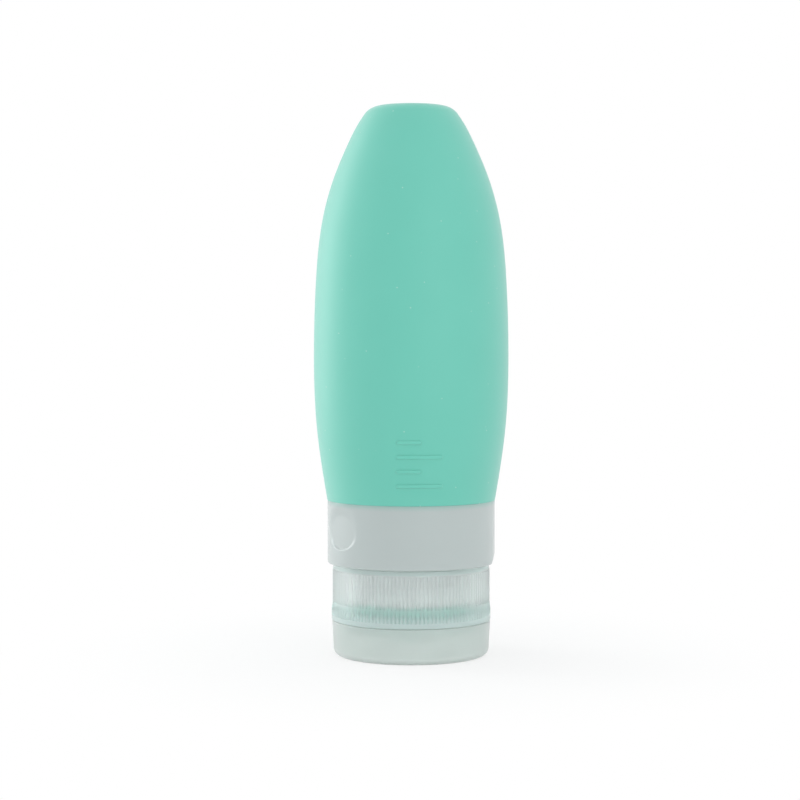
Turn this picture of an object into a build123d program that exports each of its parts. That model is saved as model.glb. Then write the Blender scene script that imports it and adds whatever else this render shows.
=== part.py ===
from build123d import *
from math import cos, pi, sin
import os

# Travel squeeze bottle, standing upside down on its closed flip lid. Millimetres.
# The origin is the centre of the lid's flat face, +Z runs up the bottle, the front faces -Y.

# Heights, from the lid's flat face up to the closed end of the silicone.
lid_height = 7.8
lid_seam = 0.05
cap_height = 12.35
cap_seam = 0.06
ring_height = 13.79
ring_seam = 0.05
body_length = 85.9

# Radii and walls, from the neck's bore outwards.
neck_bore_radius = 11.0
neck_wall = 1.6
assembly_gap = 0.05
collar_wall = 1.75
thread_depth = 0.85
thread_gap = 0.3
skirt_wall = 1.45
rib_depth = 0.25

# Silicone body. The outline is given in shares of its length and of its swell over the shoulder.
body_wall = 1.8
end_wall = 2.2
shoulder_step = 0.15
belly_swell = 2.8
end_round = 4.2
inner_end_round = 1.5
shoulder_round = 0.35
inner_shoulder_round = 1.7
body_height_shares = (0.06, 0.177, 0.383, 0.559, 0.711, 0.8265, 0.902, 0.966, 1.0)
body_radius_shares = (0.904, 0.968, 1.0, 0.978, 0.911, 0.782, 0.654, 0.518, 0.42)
lip_thickness = 2.4
lip_gap = 0.1

# Raised level marks on the front of the silicone.
mark_height = 0.3
mark_root = 0.5
mark_width = 0.9
mark_pitch = 3.1
mark_centre_x = 1.6
mark_centre_above_shoulder = 8.9
mark_length = 10.0
mark_length_shares = (1.0, 0.55, 1.0, 0.55)

# Screw thread, right-handed.
thread_pitch = 3.0
thread_root_width = 1.3
thread_crest_width = 0.7
thread_sink = 0.25
collar_thread_turns = 1.5
cap_thread_turns = 1.0
thread_above_lip = 1.6

# Collar, label and turning ring.
drum_step = 2.05
drum_neck_gain = 1.7
neck_taper = 2.0
neck_taper_rise = 1.0
ring_gap = 0.3
ring_wall = 1.6
ring_lip = 1.2
ring_bead = 0.9
ring_bead_depth = 0.4
ring_edge_round = 0.35
label_thickness = 0.3
label_margin = 1.5
label_split = 0.6

# Oval window and thumb flat of the ring. Bearings are from the front, towards +X.
window_bearing = -57.0
window_width = 11.0
window_height = 8.4
window_depth = 0.5
window_rise = 1.1
flat_bearing = 90.0
flat_depth = 0.9
flat_height = 2.4

# Cap.
rib_count = 126
rib_crest_share = 0.45
flare_step = 0.2
flare_height = 4.0
flare_run = 1.8
plain_foot = 1.15
plain_head = 1.3
head_step = 0.15
cap_edge_round = 0.2
deck_thickness = 1.6
spigot_height = 2.0
spigot_wall = 1.2
spigot_gap = 0.45
spigot_bead = 0.2
spigot_bead_share = 0.6

# Nozzle, valve and retainer.
nozzle_length = 4.6
nozzle_bore_radius = 5.1
nozzle_wall = 1.5
nozzle_taper = 0.7
nozzle_end_wall = 1.1
outlet_radius = 2.0
valve_gap = 0.05
valve_rim_thickness = 0.8
valve_rim_width = 1.6
valve_wall = 0.5
valve_dome_rise = 1.5
slit_width = 0.15
slit_length = 3.2
retainer_height = 1.8
retainer_wall = 1.5

# Lid.
lid_wall = 1.3
lid_plate = 1.3
lid_corner_radius = 1.6
lid_taper = 0.33
lid_edge_inset = 0.07
lid_edge_round = 0.3
plug_radius = 2.3
plug_entry = 1.0
seal_ring_gap = 0.6
seal_ring_wall = 0.7
seal_ring_height = 1.5

# Lid hinge, at the back.
hinge_gap = 0.2
hinge_rise = 0.15
knuckle_radius = 1.5
knuckle_length = 4.4
ear_thickness = 1.6
ear_gap = 0.2
stub_radius = 0.8
stub_gap = 0.05

# Heights worked out from the stack.
cap_bottom = lid_height + lid_seam
cap_top = cap_bottom + cap_height
ring_bottom = cap_top + cap_seam
ring_top = ring_bottom + ring_height
shoulder_z = ring_top + ring_seam
body_top = shoulder_z + body_length
deck_top = cap_bottom + deck_thickness
lip_bottom = deck_top + lip_gap
lip_top = lip_bottom + lip_thickness
collar_bottom = lip_top + assembly_gap
drum_bottom = ring_bottom + ring_lip + ring_gap
drum_top = ring_top - ring_bead - ring_gap
collar_top = shoulder_z - assembly_gap
nozzle_end = cap_bottom - nozzle_length

# Radii worked out from the stack.
neck_radius = neck_bore_radius + neck_wall
collar_bore = neck_radius + assembly_gap
collar_core = collar_bore + collar_wall
thread_crest = collar_core + thread_depth
cap_bore = thread_crest + thread_gap
cap_thread_crest = collar_core + thread_gap
rib_root = cap_bore + skirt_wall
rib_crest = rib_root + rib_depth
cap_radius = rib_crest + flare_step
lip_radius = cap_thread_crest - thread_gap
drum_radius = collar_core + drum_step
ring_bore = drum_radius + ring_gap
ring_radius = ring_bore + ring_wall
shoulder_radius = ring_radius + shoulder_step
belly_radius = shoulder_radius + belly_swell
drum_neck_radius = neck_radius + drum_neck_gain
lid_radius = cap_radius - lid_edge_inset
lid_foot_radius = lid_radius - lid_taper
spigot_radius = lid_radius - lid_wall - spigot_gap
nozzle_radius = nozzle_bore_radius + nozzle_wall
hinge_y = cap_radius + hinge_gap + knuckle_radius
hinge_z = cap_bottom + hinge_rise

# How far a cutting or cut-back shape runs past what it works on.
overrun = 1.0


def turned(*points):
    """Solid of revolution about the bottle's axis, from (radius, height) corners."""
    outline = Plane.XZ * make_face(Polyline(*points, close=True))
    return revolve(outline, Axis.Z)


def tube(inner, outer, low, high):
    """Plain ring about the bottle's axis."""
    return turned((inner, low), (outer, low), (outer, high), (inner, high))


def rod_across(radius, length, y, z):
    """Round bar along X, centred on the bottle's middle plane."""
    bar = Cylinder(radius, length, rotation=(0, 90, 0))
    return Pos(0, y, z) * bar


def block(low, high):
    """Rectangular block between two corners."""
    size = [b - a for a, b in zip(low, high)]
    middle = [(a + b) / 2 for a, b in zip(low, high)]
    return Pos(*middle) * Box(*size)


def at_bearing(shape, bearing):
    """Turns a shape made at the front (-Y) to a bearing towards +X."""
    return Rot(0, 0, bearing) * shape


def edges_at(solid, radius, height):
    """Circular edges of a turned solid at one radius and height."""
    return [
        edge
        for edge in solid.edges().filter_by(GeomType.CIRCLE)
        if abs(edge.radius - radius) < assembly_gap and abs(edge.center().Z - height) < assembly_gap
    ]


def body_form(offset, low, high):
    """The silicone's form between two heights, with its radii grown by an offset."""
    points = [(shoulder_radius + offset, low)]
    for height_share, radius_share in zip(body_height_shares, body_radius_shares):
        points.append((belly_radius * radius_share + offset, low + (high - low) * height_share))
    side = Spline(*points)
    ends = Polyline(points[-1], (0, high), (0, low), points[0])
    return revolve(Plane.XZ * make_face(side + ends), Axis.Z)


def neck_form(offset, low, high):
    """The neck's stepped outer form, grown by an offset: narrow in the thread, wide in the drum."""
    taper_low = drum_bottom + neck_taper_rise
    taper_high = taper_low + neck_taper
    return turned(
        (0, low),
        (neck_radius + offset, low),
        (neck_radius + offset, taper_low),
        (drum_neck_radius + offset, taper_high),
        (drum_neck_radius + offset, high),
        (0, high),
    )


def level_marks():
    """Raised lines on the front, long and short by turns, that follow the silicone's curve."""
    skin = body_form(mark_height, shoulder_z, body_top) - body_form(-mark_root, shoulder_z, body_top)
    middle_z = shoulder_z + mark_centre_above_shoulder
    left = mark_centre_x - mark_length / 2
    marks = []
    for row, length_share in enumerate(mark_length_shares):
        z = middle_z + (row - (len(mark_length_shares) - 1) / 2) * mark_pitch
        low = (left, -belly_radius - overrun, z - mark_width / 2)
        high = (left + mark_length * length_share, 0, z + mark_width / 2)
        marks.append(skin & block(low, high))
    return marks


def make_squeeze_body():
    outer = body_form(0, shoulder_z, body_top)
    outer = fillet(outer.edges().filter_by(GeomType.CIRCLE).sort_by(Axis.Z)[-1], end_round)
    outer = fillet(edges_at(outer, shoulder_radius, shoulder_z), shoulder_round)
    inner = body_form(-body_wall, shoulder_z + body_wall, body_top - end_wall)
    inner_edges = inner.edges().filter_by(GeomType.CIRCLE).sort_by(Axis.Z)
    inner = fillet(inner_edges[-1], inner_end_round)
    inner_edges = inner.edges().filter_by(GeomType.CIRCLE).sort_by(Axis.Z)
    inner = fillet(inner_edges[0], inner_shoulder_round)
    neck = neck_form(0, lip_bottom, shoulder_z + body_wall / 2)
    lip = tube(0, lip_radius, lip_bottom, lip_top)
    bore = neck_form(-neck_wall, lip_bottom - overrun, shoulder_z + body_wall + overrun)
    shell = outer + neck + lip
    for mark in level_marks():
        shell += mark
    return shell - inner - bore


def thread_ridge(wall_radius, crest_radius, low, turns):
    """Helical ridge of trapezoid section on a round wall, sunk a little into that wall."""
    outwards = 1 if crest_radius > wall_radius else -1
    foot = wall_radius - outwards * thread_sink
    path = Helix(pitch=thread_pitch, height=thread_pitch * turns, radius=wall_radius)
    section = Plane.XZ * make_face(
        Polyline(
            (foot, -thread_root_width / 2),
            (crest_radius, -thread_crest_width / 2),
            (crest_radius, thread_crest_width / 2),
            (foot, thread_root_width / 2),
            close=True,
        )
    )
    return Pos(0, 0, low) * sweep(section, path, is_frenet=True)


collar_thread_low = lip_top + thread_above_lip
cap_thread_low = collar_thread_low + thread_pitch / 2


def make_neck_collar():
    core = tube(0, collar_core, collar_bottom, drum_bottom + overrun)
    drum = tube(0, drum_radius, drum_bottom, drum_top)
    head = tube(0, drum_radius - ring_bead_depth - ring_gap, drum_top - overrun, collar_top)
    label_low = drum_bottom + label_margin
    label_high = drum_top - label_margin
    groove = tube(drum_radius - label_thickness, drum_radius + overrun, label_low, label_high)
    bore = neck_form(assembly_gap, collar_bottom - overrun, collar_top + overrun)
    collar = core + drum + head - groove - bore
    return collar + thread_ridge(collar_core, thread_crest, collar_thread_low, collar_thread_turns)


def make_label_band():
    low = drum_bottom + label_margin + assembly_gap
    high = drum_top - label_margin - assembly_gap
    band = tube(drum_radius - label_thickness + assembly_gap, drum_radius, low, high)
    split = block((-label_split / 2, 0, low - overrun), (label_split / 2, drum_radius + overrun, high + overrun))
    return band - split


def window_recess():
    """Shallow oval pocket with a floor that follows the ring."""
    across = Plane.XZ.offset(ring_bore) * Ellipse(window_width / 2, window_height / 2)
    oval = extrude(across, ring_wall + overrun)
    middle_z = (ring_bottom + ring_top) / 2 + window_rise
    oval = Pos(0, 0, middle_z) * oval
    return oval - Cylinder(ring_radius - window_depth, 2 * ring_top)


def thumb_flat():
    """Wedge that planes a flat off the ring's lower outer edge."""
    outline = Polyline(
        (ring_radius, ring_bottom + flat_height),
        (ring_radius - flat_depth, ring_bottom),
        (ring_radius - flat_depth, ring_bottom - overrun),
        (ring_radius + overrun, ring_bottom - overrun),
        (ring_radius + overrun, ring_bottom + flat_height),
        close=True,
    )
    wedge = extrude(Plane.YZ * make_face(outline), ring_radius, both=True)
    return Rot(0, 0, 180) * wedge


def make_window_ring():
    ring = tube(ring_bore, ring_radius, ring_bottom, ring_top)
    lip_bore = thread_crest + thread_gap
    lip = tube(lip_bore, ring_bore + ring_wall / 2, ring_bottom, ring_bottom + ring_lip)
    bead = tube(drum_radius - ring_bead_depth, ring_bore + ring_wall / 2, ring_top - ring_bead, ring_top)
    ring = ring + lip + bead
    ring = fillet(edges_at(ring, ring_radius, ring_bottom), ring_edge_round)
    ring = fillet(edges_at(ring, ring_radius, ring_top), ring_edge_round / 2)
    ring -= at_bearing(thumb_flat(), flat_bearing)
    return ring - at_bearing(window_recess(), window_bearing)


def ribbed_ring(crest, low, high):
    """Ring whose outside is a row of fine upright ribs."""
    root = crest - rib_depth
    step = 2 * pi / rib_count
    half_crest = step * rib_crest_share / 2
    half_root = step * (1 - rib_crest_share) / 2
    points = []
    for rib in range(rib_count):
        middle = rib * step
        for radius, angle in (
            (root, middle - step + half_root + half_crest),
            (crest, middle - half_crest),
            (crest, middle + half_crest),
        ):
            points.append((radius * cos(angle), radius * sin(angle)))
    ring = extrude(make_face(Polyline(*points, close=True)), high - low)
    return Pos(0, 0, low) * ring - Cylinder(cap_bore, 2 * high)


def hinge_ear(side):
    """One of the cap's two ears, with the hole that the lid's stub snaps into."""
    inner = knuckle_length / 2 + ear_gap
    middle = side * (inner + ear_thickness / 2)
    eye = Pos(middle, 0, 0) * rod_across(knuckle_radius, ear_thickness, hinge_y, hinge_z)
    web = block(
        (middle - ear_thickness / 2, cap_bore + skirt_wall / 2, cap_bottom),
        (middle + ear_thickness / 2, hinge_y, hinge_z + knuckle_radius),
    )
    hole = Pos(middle, 0, 0) * rod_across(stub_radius + stub_gap, ear_thickness + overrun, hinge_y, hinge_z)
    return eye + web - hole


def make_screw_cap():
    flare_top = cap_bottom + flare_height
    foot = tube(0, cap_radius, cap_bottom, cap_bottom + plain_foot)
    foot = fillet(edges_at(foot, cap_radius, cap_bottom), cap_edge_round)
    head = tube(cap_bore, rib_crest - head_step, cap_top - plain_head, cap_top)
    head = fillet(edges_at(head, rib_crest - head_step, cap_top), cap_edge_round)
    wall = tube(0, rib_root, cap_bottom + plain_foot / 2, cap_top - plain_head / 2)
    flare = turned(
        (0, cap_bottom),
        (cap_radius, cap_bottom),
        (cap_radius, flare_top - flare_run),
        (rib_crest, flare_top),
        (0, flare_top),
    )
    lower_ribs = ribbed_ring(cap_radius, cap_bottom + plain_foot, flare_top) & flare
    upper_ribs = ribbed_ring(rib_crest, flare_top, cap_top - plain_head)
    cavity = tube(0, cap_bore, deck_top, cap_top + overrun)
    cap = foot + wall + lower_ribs + upper_ribs + head - cavity
    spigot = tube(spigot_radius - spigot_wall, spigot_radius, cap_bottom - spigot_height, cap_bottom + plain_foot / 2)
    bead_z = cap_bottom - spigot_height * spigot_bead_share
    bead = turned(
        (spigot_radius - spigot_bead, bead_z - 2 * spigot_bead),
        (spigot_radius + spigot_bead, bead_z),
        (spigot_radius - spigot_bead, bead_z + 2 * spigot_bead),
    )
    nozzle = turned(
        (0, nozzle_end),
        (nozzle_radius - nozzle_taper, nozzle_end),
        (nozzle_radius, cap_bottom),
        (nozzle_radius, cap_bottom + plain_foot / 2),
        (0, cap_bottom + plain_foot / 2),
    )
    nozzle_bore = tube(0, nozzle_bore_radius, nozzle_end + nozzle_end_wall, deck_top + overrun)
    outlet = tube(0, outlet_radius, nozzle_end - overrun, deck_top)
    cap = cap + spigot + bead + nozzle - nozzle_bore - outlet
    for side in (-1, 1):
        cap += hinge_ear(side)
    return cap + thread_ridge(cap_bore, cap_thread_crest, cap_thread_low, cap_thread_turns)


valve_seat = nozzle_end + nozzle_end_wall + valve_gap
valve_radius = nozzle_bore_radius - valve_gap


def make_drip_valve():
    rim_top = valve_seat + valve_rim_thickness
    dome_foot = valve_radius - valve_rim_width
    dome_top = valve_seat + valve_dome_rise
    valve = turned(
        (dome_foot - valve_wall, valve_seat),
        (valve_radius, valve_seat),
        (valve_radius, rim_top),
        (dome_foot, rim_top),
        (dome_foot / 2, dome_top + valve_wall),
        (0, dome_top + valve_wall),
        (0, dome_top),
        (dome_foot / 2, dome_top),
    )
    for turn in (0, 90):
        valve -= Rot(0, 0, turn) * Box(slit_length, slit_width, 2 * cap_top)
    return valve


def make_valve_retainer():
    low = valve_seat + valve_rim_thickness + valve_gap
    return tube(valve_radius - retainer_wall, valve_radius, low, low + retainer_height)


def lid_hinge():
    """Knuckle between the cap's ears, the web that joins it to the rim, and the two stubs."""
    knuckle = rod_across(knuckle_radius, knuckle_length, hinge_y, hinge_z)
    stubs = rod_across(stub_radius, knuckle_length + 2 * (ear_gap + ear_thickness), hinge_y, hinge_z)
    web = block(
        (-knuckle_length / 2, lid_radius - lid_wall / 2, hinge_z - knuckle_radius),
        (knuckle_length / 2, hinge_y, lid_height),
    )
    return knuckle + web, stubs


def make_flip_lid():
    foot_flat = lid_foot_radius - lid_corner_radius
    corner = CenterArc((foot_flat, lid_corner_radius), lid_corner_radius, -90, 90)
    side = Polyline(
        (lid_foot_radius, lid_corner_radius),
        (lid_radius, lid_height),
        (0, lid_height),
        (0, 0),
        (foot_flat, 0),
    )
    outer = revolve(Plane.XZ * make_face(corner + side), Axis.Z)
    outer = fillet(edges_at(outer, lid_radius, lid_height), lid_edge_round)
    inner_corner = lid_corner_radius - lid_wall
    hollow = turned(
        (0, lid_plate),
        (foot_flat, lid_plate),
        (lid_foot_radius - lid_wall, lid_plate + inner_corner),
        (lid_radius - lid_wall, lid_height),
        (lid_radius - lid_wall, lid_height + overrun),
        (0, lid_height + overrun),
    )
    knuckle, stubs = lid_hinge()
    lid = outer + knuckle - hollow + stubs
    # The dome stops in the outlet's mouth, so that it swings clear as the lid opens.
    ball_z = nozzle_end + plug_entry - plug_radius
    post = tube(0, plug_radius, lid_plate / 2, ball_z)
    ball = Pos(0, 0, ball_z) * Sphere(plug_radius)
    ball = ball & tube(0, plug_radius + overrun, lid_plate / 2, nozzle_end + plug_entry + overrun)
    seal_bore = nozzle_radius + seal_ring_gap
    seal_ring = tube(seal_bore, seal_bore + seal_ring_wall, lid_plate / 2, lid_plate + seal_ring_height)
    return lid + post + ball + seal_ring


parts = {
    "squeeze_body": make_squeeze_body,
    "neck_collar": make_neck_collar,
    "label_band": make_label_band,
    "window_ring": make_window_ring,
    "screw_cap": make_screw_cap,
    "drip_valve": make_drip_valve,
    "valve_retainer": make_valve_retainer,
    "flip_lid": make_flip_lid,
}

os.makedirs("parts", exist_ok=True)
for name, make in parts.items():
    export_step(make(), f"parts/{name}.step")
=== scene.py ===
from math import cos, pi, radians, sin

import bmesh
import bpy
import numpy as np
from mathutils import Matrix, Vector


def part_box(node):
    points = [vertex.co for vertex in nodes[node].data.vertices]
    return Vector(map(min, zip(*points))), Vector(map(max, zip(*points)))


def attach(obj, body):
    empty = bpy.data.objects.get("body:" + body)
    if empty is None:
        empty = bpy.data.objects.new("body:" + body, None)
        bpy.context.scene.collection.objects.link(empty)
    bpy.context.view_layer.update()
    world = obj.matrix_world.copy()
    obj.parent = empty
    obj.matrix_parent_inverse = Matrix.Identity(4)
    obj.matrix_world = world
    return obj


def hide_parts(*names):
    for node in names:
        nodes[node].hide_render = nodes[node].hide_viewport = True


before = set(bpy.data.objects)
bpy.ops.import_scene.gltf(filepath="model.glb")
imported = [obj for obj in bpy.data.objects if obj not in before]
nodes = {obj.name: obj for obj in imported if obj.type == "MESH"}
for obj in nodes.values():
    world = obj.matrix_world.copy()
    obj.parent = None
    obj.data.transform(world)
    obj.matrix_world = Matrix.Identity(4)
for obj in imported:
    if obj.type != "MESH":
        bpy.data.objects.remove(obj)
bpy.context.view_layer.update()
mm = 0.001

# Camera and studio.
# The bottle is seen from the front, a little above its middle, from about 44 cm away, on a
# white table in a white tent: even light from all round, with a soft lamp on the left.
camera_place = (-2.45 * mm, -440 * mm, 70.8 * mm)
camera_aim = (-2.45 * mm, 0, 55.9 * mm)
lens_length = 90.3
sensor_width = 36.0
nearest_seen = 10 * mm
tent_colour = (0.97, 0.99, 1.0)
tent_strength = 0.92
white = (1.0, 1.0, 1.0)
lamp_aim = (0, 0, 60 * mm)
floor_reach = 3.0
floor_white = 0.9
shadow_inner = 20 * mm
shadow_outer = 90 * mm
glow_by_the_bottle = 0.72


def add_object(name, data):
    """Puts a camera, a lamp or a mesh into the scene."""
    thing = bpy.data.objects.new(name, data)
    bpy.context.scene.collection.objects.link(thing)
    return thing


def add_mesh(name, bm):
    """Puts a finished mesh into the scene."""
    mesh = bpy.data.meshes.new(name)
    bm.to_mesh(mesh)
    bm.free()
    return add_object(name, mesh)


def stand(thing, place, aim):
    """Stands a camera or a lamp in its place and turns it to what it looks at."""
    thing.location = place
    look = Vector(aim) - Vector(place)
    thing.rotation_euler = look.to_track_quat("-Z", "Y").to_euler()


def softbox(name, place, size, power):
    """A rectangular soft lamp, aimed at the bottle."""
    lamp = bpy.data.lights.new(name, "AREA")
    lamp.shape = "RECTANGLE"
    lamp.size, lamp.size_y = size
    lamp.energy = power
    stand(add_object(name, lamp), place, lamp_aim)


def set_inputs(node, values):
    """Sets a node's inputs by their names."""
    for name, value in values.items():
        node.inputs[name].default_value = value


def larger(tree, one, other):
    """The larger of two values."""
    choice = tree.nodes.new("ShaderNodeMath")
    choice.operation = "MAXIMUM"
    tree.links.new(one, choice.inputs[0])
    tree.links.new(other, choice.inputs[1])
    return choice.outputs[0]


def seen_directly(tree):
    """1 for rays from the camera and for those mirrored or passed on by the object, else 0."""
    ray = tree.nodes.new("ShaderNodeLightPath").outputs
    passed_on = larger(tree, ray["Is Glossy Ray"], ray["Is Transmission Ray"])
    return larger(tree, ray["Is Camera Ray"], passed_on)


camera_data = bpy.data.cameras.new("camera")
camera_data.lens = lens_length
camera_data.sensor_width = sensor_width
camera_data.clip_start = nearest_seen
camera = add_object("camera", camera_data)
stand(camera, camera_place, camera_aim)
bpy.context.scene.camera = camera
bpy.context.scene.view_settings.view_transform = "Standard"

world = bpy.data.worlds.new("studio")
world.use_nodes = True
bpy.context.scene.world = world
tree = world.node_tree
tree.nodes.clear()
tent = tree.nodes.new("ShaderNodeBackground")
set_inputs(tent, {"Color": tent_colour + (1,), "Strength": tent_strength})
backdrop = tree.nodes.new("ShaderNodeBackground")
set_inputs(backdrop, {"Color": white + (1,), "Strength": 1.0})
choose = tree.nodes.new("ShaderNodeMixShader")
out = tree.nodes.new("ShaderNodeOutputWorld")
ray = tree.nodes.new("ShaderNodeLightPath").outputs
tree.links.new(ray["Is Camera Ray"], choose.inputs[0])
tree.links.new(tent.outputs[0], choose.inputs[1])
tree.links.new(backdrop.outputs[0], choose.inputs[2])
tree.links.new(choose.outputs[0], out.inputs["Surface"])

softbox("left_softbox", place=(-0.46, 0.22, 0.16), size=(0.26, 0.45), power=1.15)
softbox("front_fill", place=(0.34, -0.62, 0.22), size=(0.40, 0.45), power=0.7)

bm = bmesh.new()
bmesh.ops.create_grid(bm, x_segments=1, y_segments=1, size=floor_reach)
floor = add_mesh("floor", bm)
paint = bpy.data.materials.new("floor_white")
paint.use_nodes = True
tree = paint.node_tree
tree.nodes.clear()
matt = tree.nodes.new("ShaderNodeBsdfDiffuse")
set_inputs(matt, {"Color": (floor_white, floor_white, floor_white, 1)})
bright = tree.nodes.new("ShaderNodeEmission")
set_inputs(bright, {"Strength": 1.0})
place = tree.nodes.new("ShaderNodeTexCoord")
reach = tree.nodes.new("ShaderNodeVectorMath")
reach.operation = "LENGTH"
fade = tree.nodes.new("ShaderNodeMapRange")
fade.interpolation_type = "SMOOTHSTEP"
set_inputs(fade, {"From Min": shadow_inner, "From Max": shadow_outer})
set_inputs(fade, {"To Min": glow_by_the_bottle, "To Max": 1.0})
keep_shadow = tree.nodes.new("ShaderNodeMath")
keep_shadow.operation = "MULTIPLY"
blend = tree.nodes.new("ShaderNodeMixShader")
out = tree.nodes.new("ShaderNodeOutputMaterial")
tree.links.new(place.outputs["Object"], reach.inputs[0])
tree.links.new(reach.outputs["Value"], fade.inputs["Value"])
tree.links.new(seen_directly(tree), keep_shadow.inputs[0])
tree.links.new(fade.outputs["Result"], keep_shadow.inputs[1])
tree.links.new(keep_shadow.outputs[0], blend.inputs[0])
tree.links.new(matt.outputs[0], blend.inputs[1])
tree.links.new(bright.outputs[0], blend.inputs[2])
tree.links.new(blend.outputs[0], out.inputs["Surface"])
floor.data.materials.append(paint)

# Silicone body.
# One moulding of soft matt silicone, mint green: a tapering barrel with a narrow flat end, a
# stepped neck inside the collar and a thick lip that seals under the cap's deck.
body_low, body_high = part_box("squeeze_body")
ring_low, ring_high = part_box("window_ring")
lip_bottom = body_low[2]
body_top = body_high[2]
shoulder_gap = 0.01 * mm
shoulder_overhang = 0.05 * mm
shoulder_z = ring_high[2] + shoulder_gap
shoulder_radius = ring_high[0] + shoulder_overhang
shoulder_round = 0.03 * mm
belly_radius = 21.3 * mm
end_round = 4.2 * mm
wall = 1.8 * mm
end_wall = 2.2 * mm
neck_bore = 11.0 * mm
neck_radius = 12.6 * mm
drum_neck_radius = 14.3 * mm
drum_neck_bore = 12.7 * mm
neck_taper_z = 22.95 * mm
neck_taper = 2.0 * mm
lip_radius = 14.4 * mm
lip_thickness = 2.4 * mm
# The barrel's radii, as shares of the belly's, at shares of its height above the shoulder.
height_shares = (0.0, 0.06, 0.177, 0.383, 0.559, 0.711, 0.8265, 0.902, 0.966, 1.0)
radius_shares = (0.904, 0.968, 1.0, 0.978, 0.911, 0.782, 0.654, 0.518, 0.42)
outer_rows = 80
inner_rows = 24
inner_reach = 0.975
body_turns = 224
mint_deep = (0.140, 0.555, 0.445)
mint_pale = (0.155, 0.585, 0.470)
mint_cloud = 14 * mm
dust = (0.62, 0.72, 0.70)
dust_spacing = 3.2 * mm
speck_core = 0.035
speck_edge = 0.055
speck_strength = 0.45


def smooth_through(stations, values):
    """Natural cubic curve through the given values, as a function of the station."""
    x = np.array(stations)
    y = np.array(values)
    gap = np.diff(x)
    size = len(x)
    system = np.eye(size)
    right = np.zeros(size)
    for i in range(1, size - 1):
        system[i, i - 1 : i + 2] = gap[i - 1], 2 * (gap[i - 1] + gap[i]), gap[i]
        right[i] = 6 * ((y[i + 1] - y[i]) / gap[i] - (y[i] - y[i - 1]) / gap[i - 1])
    bend = np.linalg.solve(system, right)

    def at(station):
        i = int(np.clip(np.searchsorted(x, station) - 1, 0, size - 2))
        a, b, h = x[i + 1] - station, station - x[i], gap[i]
        curve = (bend[i] * a**3 + bend[i + 1] * b**3) / (6 * h)
        return curve + (y[i] / h - bend[i] * h / 6) * a + (y[i + 1] / h - bend[i + 1] * h / 6) * b

    return at


def arc(centre, radius, start, end, steps):
    """Points of a circular arc in the (radius, height) plane, angles in degrees from outwards."""
    turns = [radians(start + (end - start) * i / steps) for i in range(steps + 1)]
    return [(centre[0] + radius * cos(t), centre[1] + radius * sin(t)) for t in turns]


def spun(name, outline, steps):
    """A piece turned about the bottle's axis from a closed outline of (radius, height) points."""
    bm = bmesh.new()
    verts = [bm.verts.new((radius, 0, height)) for radius, height in outline]
    edges = [bm.edges.new(pair) for pair in zip(verts, verts[1:] + verts[:1])]
    bmesh.ops.spin(bm, geom=verts + edges, axis=(0, 0, 1), cent=(0, 0, 0), steps=steps,
                   angle=2 * pi, use_merge=True)
    bmesh.ops.remove_doubles(bm, verts=bm.verts, dist=1e-7)
    bmesh.ops.recalc_face_normals(bm, faces=bm.faces)
    for face in bm.faces:
        face.smooth = True
    return add_mesh(name, bm)


body_radius = smooth_through(
    height_shares, (shoulder_radius,) + tuple(belly_radius * share for share in radius_shares))
body_length = body_top - shoulder_z
top_slope = (body_radius(1.0) - body_radius(0.99)) / (0.01 * body_length)
end_turn = pi / 2 + np.arctan(top_slope)
end_inset = end_round * np.tan(end_turn / 2)
flat_radius = body_radius(1.0) - end_inset
side_end = 1.0 - end_inset * cos(np.arctan(top_slope)) / body_length
shoulder_centre = (shoulder_radius - shoulder_round, shoulder_z + shoulder_round)
end_centre = (flat_radius, body_top - end_round)
inner_low = shoulder_z + wall
inner_high = body_top - end_wall

outline = [(lip_radius, lip_bottom), (lip_radius, lip_bottom + lip_thickness)]
outline += [(neck_radius, lip_bottom + lip_thickness), (neck_radius, neck_taper_z)]
outline += [(drum_neck_radius, neck_taper_z + neck_taper), (drum_neck_radius, shoulder_z)]
outline += arc(shoulder_centre, shoulder_round, -90, 0, 5)
for row in range(1, outer_rows + 1):
    share = side_end * row / outer_rows
    outline.append((body_radius(share), shoulder_z + body_length * share))
outline += arc(end_centre, end_round, 90 - np.degrees(end_turn), 90, 9)[1:]
outline += [(flat_radius * 0.5, body_top), (0, body_top)]
outline += [(0, inner_high), (flat_radius * 0.8, inner_high)]
for row in range(inner_rows, -1, -1):
    share = inner_reach * row / inner_rows
    outline.append((body_radius(share) - wall, inner_low + (inner_high - inner_low) * share))
outline += [(drum_neck_bore, inner_low), (drum_neck_bore, neck_taper_z + neck_taper)]
outline += [(neck_bore, neck_taper_z), (neck_bore, lip_bottom)]
silicone_body = spun("silicone_body", outline, body_turns)


def new_material(name):
    """A new material with its node tree, its shader and the object's own coordinates."""
    material = bpy.data.materials.new(name)
    material.use_nodes = True
    tree = material.node_tree
    place = tree.nodes.new("ShaderNodeTexCoord").outputs["Object"]
    return material, tree, tree.nodes["Principled BSDF"], place


def noise(tree, place, size, detail=2):
    """Soft random blotches of the given size."""
    blotches = tree.nodes.new("ShaderNodeTexNoise")
    set_inputs(blotches, {"Scale": 1 / size, "Detail": detail})
    tree.links.new(place, blotches.inputs["Vector"])
    return blotches.outputs["Fac"]


def grain(tree, shader, height, depth):
    """Fine surface grain: a bump of the given depth in metres."""
    bump = tree.nodes.new("ShaderNodeBump")
    set_inputs(bump, {"Distance": depth})
    tree.links.new(height, bump.inputs["Height"])
    tree.links.new(bump.outputs["Normal"], shader.inputs["Normal"])


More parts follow.
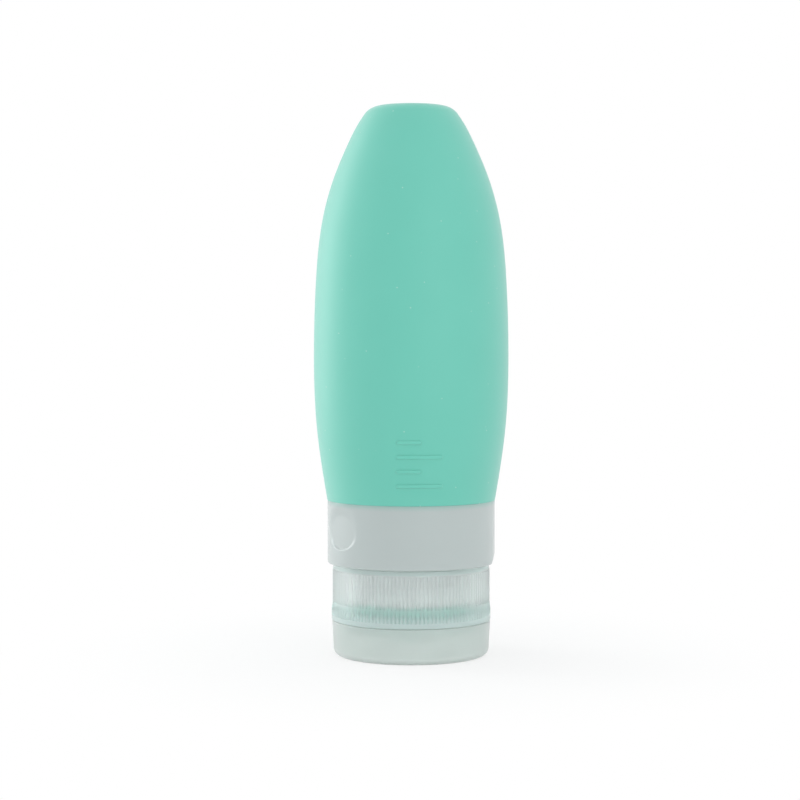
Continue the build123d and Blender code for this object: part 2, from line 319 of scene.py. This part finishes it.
def mixed(tree, share, first, second):
    """A mix of two colours by a share. The first may also be an earlier mix."""
    mix = tree.nodes.new("ShaderNodeMix")
    mix.data_type = "RGBA"
    tree.links.new(share, mix.inputs["Factor"])
    if isinstance(first, tuple):
        set_inputs(mix, {"A": first + (1,)})
    else:
        tree.links.new(first, mix.inputs["A"])
    set_inputs(mix, {"B": second + (1,)})
    return mix.outputs["Result"]


def silicone(name):
    """Matt mint silicone with a soft bloom at its edges and a few specks of pale dust."""
    material, tree, shader, place = new_material(name)
    set_inputs(shader, {
        "Roughness": 0.5,
        "Sheen Weight": 0.36,
        "Sheen Roughness": 0.5,
        "Subsurface Weight": 0.2,
        "Subsurface Radius": (0.6, 1.0, 0.9),
        "Subsurface Scale": 1.5 * mm,
    })
    grain(tree, shader, noise(tree, place, 0.35 * mm, detail=3), depth=0.01 * mm)
    specks = tree.nodes.new("ShaderNodeTexVoronoi")
    set_inputs(specks, {"Scale": 1 / dust_spacing})
    dusty = tree.nodes.new("ShaderNodeMapRange")
    set_inputs(dusty, {"From Min": speck_core, "From Max": speck_edge})
    set_inputs(dusty, {"To Min": speck_strength, "To Max": 0.0})
    tree.links.new(place, specks.inputs["Vector"])
    tree.links.new(specks.outputs["Distance"], dusty.inputs["Value"])
    clean = mixed(tree, noise(tree, place, mint_cloud), mint_deep, mint_pale)
    colour = mixed(tree, dusty.outputs["Result"], clean, dust)
    tree.links.new(colour, shader.inputs["Base Color"])
    return material


mint = silicone("mint_silicone")
silicone_body.data.materials.append(mint)
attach(silicone_body, "bottle")
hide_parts("squeeze_body")

# Level marks.
# Four raised lines on the front, long and short by turns, moulded with the silicone. Each stands
# 0.3 mm proud, with rounded edges, and follows the curve of the skin.
mark_left = -3.4 * mm
mark_lengths = (10.0 * mm, 5.5 * mm, 10.0 * mm, 5.5 * mm)
mark_width = 0.9 * mm
mark_pitch = 3.1 * mm
mark_rise = 0.3 * mm
mark_root = 0.12 * mm
mark_fullness = 0.7
mark_step = 0.2 * mm
mark_rows = 10
mark_middle = shoulder_z + 8.9 * mm


def raised_line(bm, left, length, height):
    """Rounded bar that lies on the skin: a grid moved out from the bottle's axis."""
    columns = int(length / mark_step)
    made = bmesh.ops.create_grid(bm, x_segments=columns, y_segments=mark_rows, size=0.5)
    for vert in made["verts"]:
        along = (vert.co.x + 0.5) * length
        across = vert.co.y * mark_width
        to_end = max(0.0, mark_width / 2 - min(along, length - along))
        off_centre = min(1.0, np.hypot(to_end, across) / (mark_width / 2))
        dome = np.sqrt(1 - off_centre**2) ** mark_fullness
        x = left + along
        z = height + across
        skin = body_radius((z - shoulder_z) / body_length)
        radius = skin + mark_rise * dome - mark_root * off_centre**6
        vert.co = (x, -np.sqrt(radius**2 - x**2), z)


bm = bmesh.new()
for row, length in enumerate(mark_lengths):
    height = mark_middle + (row - (len(mark_lengths) - 1) / 2) * mark_pitch
    raised_line(bm, mark_left, length, height)
bmesh.ops.recalc_face_normals(bm, faces=bm.faces)
for face in bm.faces:
    face.smooth = True
level_marks = add_mesh("level_marks", bm)
level_marks.data.materials.append(mint)
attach(level_marks, "bottle")

# Neck collar.
# Natural polypropylene, moulded in one with its outer thread and the drum under the turning ring.
# The silicone neck is drawn through it, so that the soft bottle has a firm thread.
plastic_cloud = 9 * mm
cloud_shade = 0.97


def plastic(name, colour, clearness, roughness, milk, depth, bloom=0.0, coat=0.5):
    """Natural polypropylene: a clear share, a milky one that light soaks through to the given
    depth, a smooth coat and a bloom at the rims."""
    material, tree, shader, place = new_material(name)
    set_inputs(shader, {
        "Roughness": roughness,
        "IOR": 1.2,
        "Transmission Weight": clearness,
        "Subsurface Weight": milk,
        "Subsurface Radius": (1.0, 1.0, 1.0),
        "Subsurface Scale": depth,
        "Coat Weight": coat,
        "Coat Roughness": 0.2,
        "Sheen Weight": bloom,
        "Sheen Roughness": 0.4,
    })
    grain(tree, shader, noise(tree, place, 0.5 * mm), depth=0.005 * mm)
    shaded = tuple(channel * cloud_shade for channel in colour)
    cloudy = mixed(tree, noise(tree, place, plastic_cloud), shaded, colour)
    tree.links.new(cloudy, shader.inputs["Base Color"])
    return material


def dress(node, material):
    """Gives a CAD node its finish."""
    mesh = nodes[node].data
    mesh.materials.clear()
    mesh.materials.append(material)


collar_plastic = plastic("collar_plastic", (0.95, 0.97, 0.965), clearness=0.10, roughness=0.5,
                         milk=0.5, depth=1.5 * mm)
dress("neck_collar", collar_plastic)

# Label band.
# Blank matt film, wrapped round the drum in its groove, with a narrow split at the back.
label_film = plastic("label_film", (0.80, 0.84, 0.84), clearness=0.0, roughness=0.6,
                     milk=0.3, depth=0.5 * mm)
dress("label_band", label_film)

# Turning ring.
# Frosted polypropylene, moulded. A shallow oval window, crisp at its foot only, looks at the band
# inside. A flat for the thumb is planed off the lower edge. The ring's head has painted green
# light, standing in for the glow bounced onto it from the silicone.
ring_radius = 18.35 * mm
ring_bore = 16.75 * mm
ring_lip_bore = 15.55 * mm
ring_bead_bore = 16.05 * mm
ring_lip = 1.2 * mm
ring_bead = 0.9 * mm
ring_foot_round = 0.45 * mm
ring_head_round = 0.03 * mm
ring_foot = ring_low[2]
ring_head = ring_high[2]
ring_rows = 118
ring_turns = 576
skin_depth = 0.01 * mm
window_bearing = radians(-57.0)
window_half_width = 5.5 * mm
window_half_height = 4.2 * mm
window_middle = (ring_foot + ring_head) / 2 + 1.1 * mm
window_depth = 0.5 * mm
side_shallowness = 0.85
crisp_edge = 0.13 * mm
soft_edge = 1.3 * mm
crisp_side = (0.1, -1.0)
softening = 1.2
crowding = 0.55
flat_depth = 0.9 * mm
flat_height = 2.4 * mm
# Painted green light: the silicone's glow on the ring's head, painted into the ring's colour.
ring_painted_glow = (0.30, 0.62, 0.54)
ring_painted_glow_share = 0.5
ring_painted_glow_depth = 1.3 * mm


def by_height(material, low, high, at_low, at_high):
    """A value that goes softly from one amount to another between two heights."""
    tree = material.node_tree
    place = tree.nodes.new("ShaderNodeTexCoord")
    split = tree.nodes.new("ShaderNodeSeparateXYZ")
    ramp = tree.nodes.new("ShaderNodeMapRange")
    ramp.interpolation_type = "SMOOTHSTEP"
    set_inputs(ramp, {"From Min": low, "From Max": high, "To Min": at_low, "To Max": at_high})
    tree.links.new(place.outputs["Object"], split.inputs[0])
    tree.links.new(split.outputs["Z"], ramp.inputs["Value"])
    return ramp.outputs["Result"]


def tint_by_height(material, low, high, tint, at_low, at_high):
    """Mixes a tint into a material's colour, by a share that goes from one amount to another."""
    tree = material.node_tree
    base_colour = tree.nodes["Principled BSDF"].inputs["Base Color"]
    share = by_height(material, low, high, at_low, at_high)
    untinted = base_colour.links[0].from_socket
    tree.links.new(mixed(tree, share, untinted, tint), base_colour)


foot_centre = (ring_radius - ring_foot_round, ring_foot + ring_foot_round)
head_centre = (ring_radius - ring_head_round, ring_head - ring_head_round)
outline = [(ring_lip_bore, ring_foot), (foot_centre[0], ring_foot)]
outline += arc(foot_centre, ring_foot_round, -90, 0, 6)[1:]
for row in range(1, ring_rows):
    height = foot_centre[1] + (head_centre[1] - foot_centre[1]) * row / ring_rows
    outline.append((ring_radius, height))
outline += arc(head_centre, ring_head_round, 0, 90, 4)
outline += [(ring_bead_bore, ring_head), (ring_bead_bore, ring_head - ring_bead)]
outline += [(ring_bore, ring_head - ring_bead), (ring_bore, ring_foot + ring_lip)]
outline += [(ring_lip_bore, ring_foot + ring_lip)]
turning_ring = spun("turning_ring", outline, ring_turns)

points = np.zeros(3 * len(turning_ring.data.vertices))
turning_ring.data.vertices.foreach_get("co", points)
x, y, z = points.reshape(-1, 3).T
radius = np.hypot(x, y)
# The ring's columns are crowded towards the window, so that its edge is finely drawn.
bearing = np.arctan2(x, -y)
bearing -= crowding * np.sin(bearing)
across = radius * np.sin(bearing) / window_half_width
up = (z - window_middle) / window_half_height
oval = np.hypot(across, up)
towards = (across * crisp_side[0] + up * crisp_side[1]) / np.maximum(oval, 0.01)
softness = (1 - np.clip(towards, 0, 1)) ** softening
edge = crisp_edge + (soft_edge - crisp_edge) * softness
sunk = np.clip(0.5 + (1 - oval) * window_half_height / edge / 2, 0, 1)
sunk[(np.cos(bearing) < 0) | (radius < ring_radius - skin_depth)] = 0
depth = window_depth * (1 - side_shallowness * np.clip(across, -1, 1) ** 2)
radius -= depth * sunk**2 * (3 - 2 * sunk)
bearing += window_bearing
planed = ring_radius - flat_depth * np.clip(1 - (z - ring_foot) / flat_height, 0, 1)
x = np.minimum(radius * np.sin(bearing), planed)
y = -radius * np.cos(bearing)
turning_ring.data.vertices.foreach_set("co", np.stack([x, y, z], axis=1).ravel())
turning_ring.data.update()

frosted_ring = plastic("frosted_ring", (0.61, 0.67, 0.66), clearness=0.20, roughness=0.40,
                       milk=0.5, depth=1.0 * mm, bloom=0.2)
# Paints the silicone's bounced green light into the colour of the ring's head.
tint_by_height(frosted_ring, ring_head - ring_painted_glow_depth, ring_head, ring_painted_glow,
               0.0, ring_painted_glow_share)
turning_ring.data.materials.append(frosted_ring)
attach(turning_ring, "ring")
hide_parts("window_ring")

# Screw cap.
# Natural polypropylene, moulded in one: ribbed skirt, inner thread, deck, nozzle and the hinge's
# two ears. Frosted outside and polished inside. Painted green light at its head and at the lip's
# height stands in for the silicone's glow showing through and bounced in the wall.
cap_bore = 15.55 * mm
deck_top = 9.45 * mm
frost_margin = 0.1 * mm
sharp_corner = radians(28)
foot_band = 0.01 * mm
cap_seam = 0.04 * mm
# Painted green light: the lip seen through the wall, and the silicone's glow at the cap's head.
lip_painted_glow = (0.62, 0.95, 0.87)
lip_painted_glow_share = 0.35
lip_painted_glow_low = 10.8 * mm
lip_painted_glow_high = 12.6 * mm
head_painted_glow = (0.66, 0.92, 0.85)
head_painted_glow_share = 0.45
head_painted_glow_low = 18.9 * mm
head_painted_glow_high = 19.4 * mm
foot_clearness = 0.40
foot_clear_z = 9.4 * mm
skirt_clearness = 0.60
skirt_clear_z = 10.6 * mm


def moulded(node, name, outside, inside, is_outside, seam=0.0):
    """A merged copy of a CAD node, frosted where the test says so and polished on the rest.

    Its foot is let down by the seam, to close the seam below it."""
    bm = bmesh.new()
    bm.from_mesh(nodes[node].data)
    bmesh.ops.remove_doubles(bm, verts=bm.verts, dist=1e-6)
    outer = [vert for vert in bm.verts if vert.co.xy.length > cap_bore]
    foot = min(vert.co.z for vert in outer)
    for vert in outer:
        if vert.co.z < foot + foot_band:
            vert.co.z -= seam
    for face in bm.faces:
        face.smooth = True
        face.material_index = 0 if is_outside(face.calc_center_median()) else 1
    for edge in bm.edges:
        edge.smooth = edge.is_manifold and edge.calc_face_angle() < sharp_corner
    piece = add_mesh(name, bm)
    piece.data.attributes.remove(piece.data.attributes["custom_normal"])
    piece.data.materials.append(outside)
    piece.data.materials.append(inside)
    return piece


def cap_outside(middle):
    """Whether a face is on the cap's skirt or under its deck, where the mould is frosted."""
    return middle.xy.length > cap_bore + frost_margin or middle.z < deck_top - frost_margin


frosted_cap = plastic("frosted_cap", (0.90, 0.975, 0.955), clearness=skirt_clearness,
                      roughness=0.6, milk=0.6, depth=1.2 * mm, bloom=0.05)
# Paints the green of the lip seen through the skirt, and the silicone's glow at the head, into the
# cap's colour.
tint_by_height(frosted_cap, lip_painted_glow_low, lip_painted_glow_high, lip_painted_glow, lip_painted_glow_share, 0.0)
tint_by_height(frosted_cap, head_painted_glow_low, head_painted_glow_high, head_painted_glow, 0.0, head_painted_glow_share)
# The skirt is clearer than the foot.
clearer_up = by_height(frosted_cap, foot_clear_z, skirt_clear_z, foot_clearness, skirt_clearness)
tree = frosted_cap.node_tree
tree.links.new(clearer_up, tree.nodes["Principled BSDF"].inputs["Transmission Weight"])
polished_inside = plastic("polished_inside", (0.98, 0.99, 0.99), clearness=1.0, roughness=0.2,
                          milk=0.0, depth=1.2 * mm, coat=0.0)
ribbed_cap = moulded("screw_cap", "ribbed_cap", frosted_cap, polished_inside, cap_outside,
                     cap_seam)
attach(ribbed_cap, "cap")
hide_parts("screw_cap")

# Drip valve and its retainer.
# A slit dome of the bottle's silicone sits in the nozzle, and a snap ring of natural polypropylene
# holds its rim there.
dress("drip_valve", mint)
dress("valve_retainer", collar_plastic)

# Flip lid.
# Natural polypropylene, moulded in one: a cup with a flat foot, a plug, a seal ring, and a knuckle
# with two stubs that snap into the cap's ears. Frosted outside and polished inside, as the cap is.
lid_bore = 16.08 * mm
lid_foot = 0.3 * mm


def lid_outside(middle):
    """Whether a face is on the lid's side or its foot, where the mould is frosted."""
    return middle.xy.length > lid_bore + frost_margin or middle.z < lid_foot


frosted_lid = plastic("frosted_lid", (0.73, 0.81, 0.775), clearness=0.4, roughness=0.5,
                      milk=0.5, depth=1.2 * mm, bloom=0.25)
cup_lid = moulded("flip_lid", "cup_lid", frosted_lid, polished_inside, lid_outside)
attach(cup_lid, "lid")
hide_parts("flip_lid")
